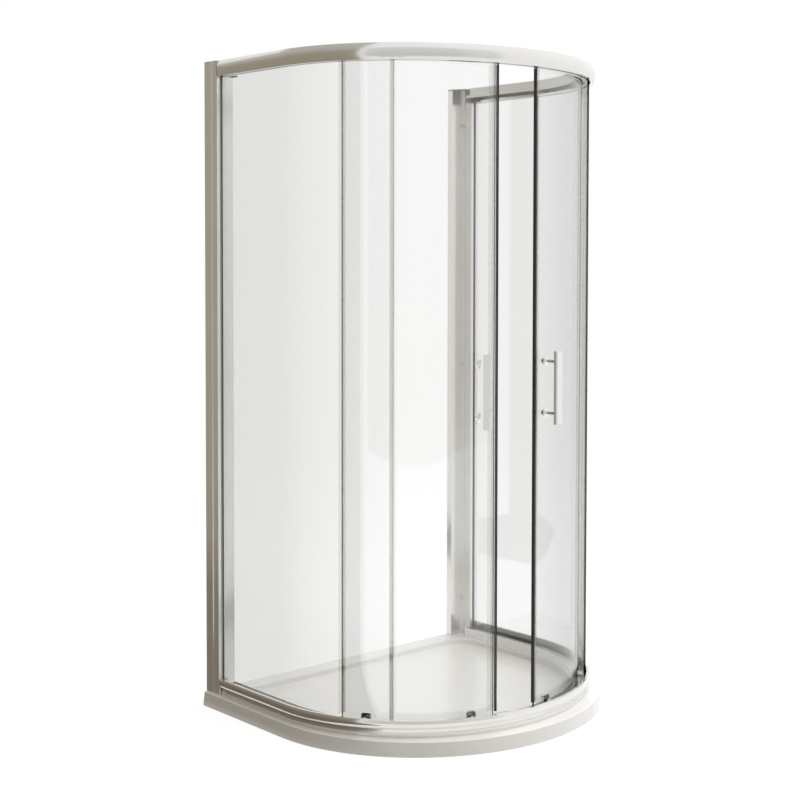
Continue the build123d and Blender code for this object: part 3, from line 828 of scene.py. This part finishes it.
@dataclass
class Studio:
    """Floor, surroundings, lamps and the camera at the photograph's place."""

    eye: tuple[float, float, float] = (-2.7999343, -3.213551, 1.3232668)
    yaw: float = 0.7765
    pitch: float = -0.0383
    roll: float = 0.0047
    focal_px: float = 1442.455
    centre_px: tuple[float, float] = (127.6122, -86.1308)
    picture_px: float = 800.0
    sensor_mm: float = 36.0
    room_slope: tuple[float, float, float] = (0.42, -0.3, 0.2)
    room_level: float = 0.58
    floor_half: float = 30.0
    floor_z: float = -0.0005
    floor_paint: Colour = tone(0.36, 0.345, 0.31)
    floor_shadow: Colour = tone(0.15, 0.15, 0.15)
    floor_glow: float = 0.9

    def camera(self) -> None:
        """Places the camera with the view and shift found from the photograph."""
        ahead = Vector(
            (
                math.sin(self.yaw) * math.cos(self.pitch),
                math.cos(self.yaw) * math.cos(self.pitch),
                math.sin(self.pitch),
            )
        )
        across = Vector((math.cos(self.yaw), -math.sin(self.yaw), 0.0))
        upward = across.cross(ahead)
        turn, lean = math.cos(self.roll), math.sin(self.roll)
        right = across * turn + upward * lean
        top = upward * turn - across * lean
        data = bpy.data.cameras.new("front_left_camera")
        data.sensor_width = self.sensor_mm
        data.lens = self.sensor_mm * self.focal_px / self.picture_px
        data.shift_x = -self.centre_px[0] / self.picture_px
        data.shift_y = self.centre_px[1] / self.picture_px
        data.clip_end = 200.0
        camera = linked("front_left_camera", data)
        axes = Matrix((right, top, -ahead)).transposed().to_4x4()
        camera.matrix_world = Matrix.Translation(Vector(self.eye)) @ axes
        bpy.context.scene.camera = camera

    @staticmethod
    def seen(graph: Graph) -> Socket:
        """1 for what the eye, the polish and the glass show, 0 for what only lights the object."""
        rays = graph.node("ShaderNodeLightPath")
        return (rays[CAMERA_RAY] + rays[GLOSSY_RAY] + rays[TRANSMISSION_RAY]).clamped()

    def surroundings(self) -> None:
        """A white room to the eye, the polish and the glass, and a shaded one for soft light."""
        world = bpy.data.worlds.new("studio_room")
        bpy.context.scene.world = world
        graph = Graph.of(world)
        way = graph.node("ShaderNodeTexCoord")[GENERATED]
        x, y, z = graph.node("ShaderNodeSeparateXYZ", {}, {0: way})
        along_x, along_y, along_z = self.room_slope
        level = (x * along_x + y * along_y + z * along_z + self.room_level).clamped(0.05, 1.0)
        colour = graph.node(
            "ShaderNodeValToRGB",
            {
                "ramp": [
                    (0.05, tone(0.06, 0.05, 0.032)),
                    (0.2, tone(0.22, 0.19, 0.14)),
                    (0.45, tone(0.46, 0.43, 0.375)),
                    (0.8, tone(0.8, 0.79, 0.77)),
                    (1.0, tone(1.0, 1.0, 1.0)),
                ]
            },
            {0: level},
        )[0]
        shaded = graph.node("ShaderNodeBackground", {}, {"Color": colour, "Strength": 1.0})[0]
        white = graph.node("ShaderNodeBackground", {}, {"Color": tone(1, 1, 1), "Strength": 1.0})[0]
        graph.output("ShaderNodeOutputWorld", graph.mixed(self.seen(graph), shaded, white))

    def floor(self) -> None:
        """A pale floor that keeps a soft shadow and meets the white room unseen."""
        half, z = self.floor_half, self.floor_z
        mesh = bpy.data.meshes.new("studio_floor")
        corners = [(-half, -half, z), (half, -half, z), (half, half, z), (-half, half, z)]
        mesh.from_pydata(corners, [], [(0, 1, 2, 3)])
        floor = linked("studio_floor", mesh)
        material = bpy.data.materials.new("pale_floor")
        graph = Graph.of(material)
        paint = graph.node("ShaderNodeBsdfDiffuse", {}, {"Color": self.floor_paint})[0]
        thin = graph.node("ShaderNodeBsdfDiffuse", {}, {"Color": self.floor_shadow})[0]
        glow = graph.node(
            "ShaderNodeEmission", {}, {"Color": tone(1, 1, 1), "Strength": self.floor_glow}
        )[0]
        lit = graph.node("ShaderNodeAddShader", {}, {0: glow, 1: thin})[0]
        graph.output("ShaderNodeOutputMaterial", graph.mixed(self.seen(graph), paint, lit))
        mesh.materials.append(material)

    def card(
        self,
        name: str,
        corners: Sequence[Sequence[float]],
        stops: Sequence[tuple[float, Colour]],
        top: float,
    ) -> None:
        """A toned card beside the object, which only mirror-like surfaces show.

        Args:
            name: the card's name.
            corners: its corners, four for each rectangle.
            stops: its tones from the floor up, as positions from 0 to 1.
            top: the height in metres at which the tones end.
        """
        mesh = bpy.data.meshes.new(name)
        faces = [tuple(range(start, start + 4)) for start in range(0, len(corners), 4)]
        mesh.from_pydata([tuple(corner) for corner in corners], [], faces)
        card = linked(name, mesh)
        card.visible_camera = False
        card.visible_diffuse = False
        card.visible_transmission = False
        card.visible_shadow = False
        material = bpy.data.materials.new(name)
        graph = Graph.of(material)
        height = graph.place()[2] * (1.0 / top)
        shade = graph.node("ShaderNodeValToRGB", {"ramp": list(stops)}, {0: height.clamped()})[0]
        surface = graph.node(
            "ShaderNodeBsdfPrincipled",
            {},
            {
                "Base Color": tone(0, 0, 0),
                "Roughness": 1.0,
                "Emission Color": shade,
                "Emission Strength": 1.0,
            },
        )[0]
        graph.output("ShaderNodeOutputMaterial", surface)
        mesh.materials.append(material)

    def cards(self) -> None:
        """The dark card by the near post, and the pale ones behind the camera and in front."""
        near, far, front, back, top = -1.35, -0.56, -0.3, 2.15, 3.4
        self.card(
            "near_post_card",
            [
                (near, front, 0.0), (near, back, 0.0), (near, back, top), (near, front, top),
                (near, front, 0.002), (far, front, 0.002), (far, back, 0.002), (near, back, 0.002),
                (near, front, top), (near, back, top), (-0.3, back, top + 0.2), (-0.3, front, top + 0.2),
            ],
            [
                (0.0, tone(0.10, 0.08, 0.05)),
                (0.06, tone(0.22, 0.188, 0.128)),
                (0.3, tone(0.285, 0.25, 0.18)),
                (0.62, tone(0.315, 0.285, 0.22)),
                (0.72, tone(0.45, 0.43, 0.385)),
                (1.0, tone(0.50, 0.485, 0.44)),
            ],
            top,
        )
        self.card(
            "camera_card",
            [(-6.4, -1.6, -0.2), (-1.6, -6.4, -0.2), (-1.6, -6.4, 5.5), (-6.4, -1.6, 5.5)],
            [(0.0, tone(0.64, 0.625, 0.60)), (1.0, tone(0.74, 0.735, 0.72))],
            5.0,
        )
        self.card(
            "front_card",
            [(-1.6, -6.4, -0.2), (1.2, -7.0, -0.2), (1.2, -7.0, 5.5), (-1.6, -6.4, 5.5)],
            [(0.0, tone(0.74, 0.73, 0.70)), (1.0, tone(0.82, 0.815, 0.80))],
            5.0,
        )

    def lamp(
        self,
        name: str,
        place: Sequence[float],
        aim: Sequence[float],
        size: Sequence[float],
        power: float,
    ) -> None:
        """One soft rectangular lamp that no mirror-like surface shows.

        Args:
            name: the lamp's name.
            place: where it stands.
            aim: the point it faces.
            size: width and height in metres.
            power: watts.
        """
        data = bpy.data.lights.new(name, "AREA")
        data.shape = "RECTANGLE"
        data.size, data.size_y = size
        data.energy = power
        lamp = linked(name, data)
        lamp.visible_glossy = False
        turn = (Vector(aim) - Vector(place)).to_track_quat("-Z", "Y").to_matrix().to_4x4()
        lamp.matrix_world = Matrix.Translation(Vector(place)) @ turn

    def build(self) -> None:
        """Sets up the whole studio."""
        scene = bpy.context.scene
        scene.view_settings.view_transform = "Standard"
        self.camera()
        self.surroundings()
        self.floor()
        self.cards()
        self.lamp("right_softbox", (3.2, -2.6, 2.6), (0.0, 0.0, 0.9), (1.6, 2.4), 50.0)
        self.lamp("top_softbox", (0.6, -0.4, 4.2), (0.0, 0.0, 0.0), (2.4, 2.4), 90.0)


def main() -> None:
    """Builds the dressed enclosure and its studio."""
    FixedFrame().dress()
    for side in Side:
        SlidingDoor(side).dress()
    Studio().build()


if __name__ == "__main__":
    main()
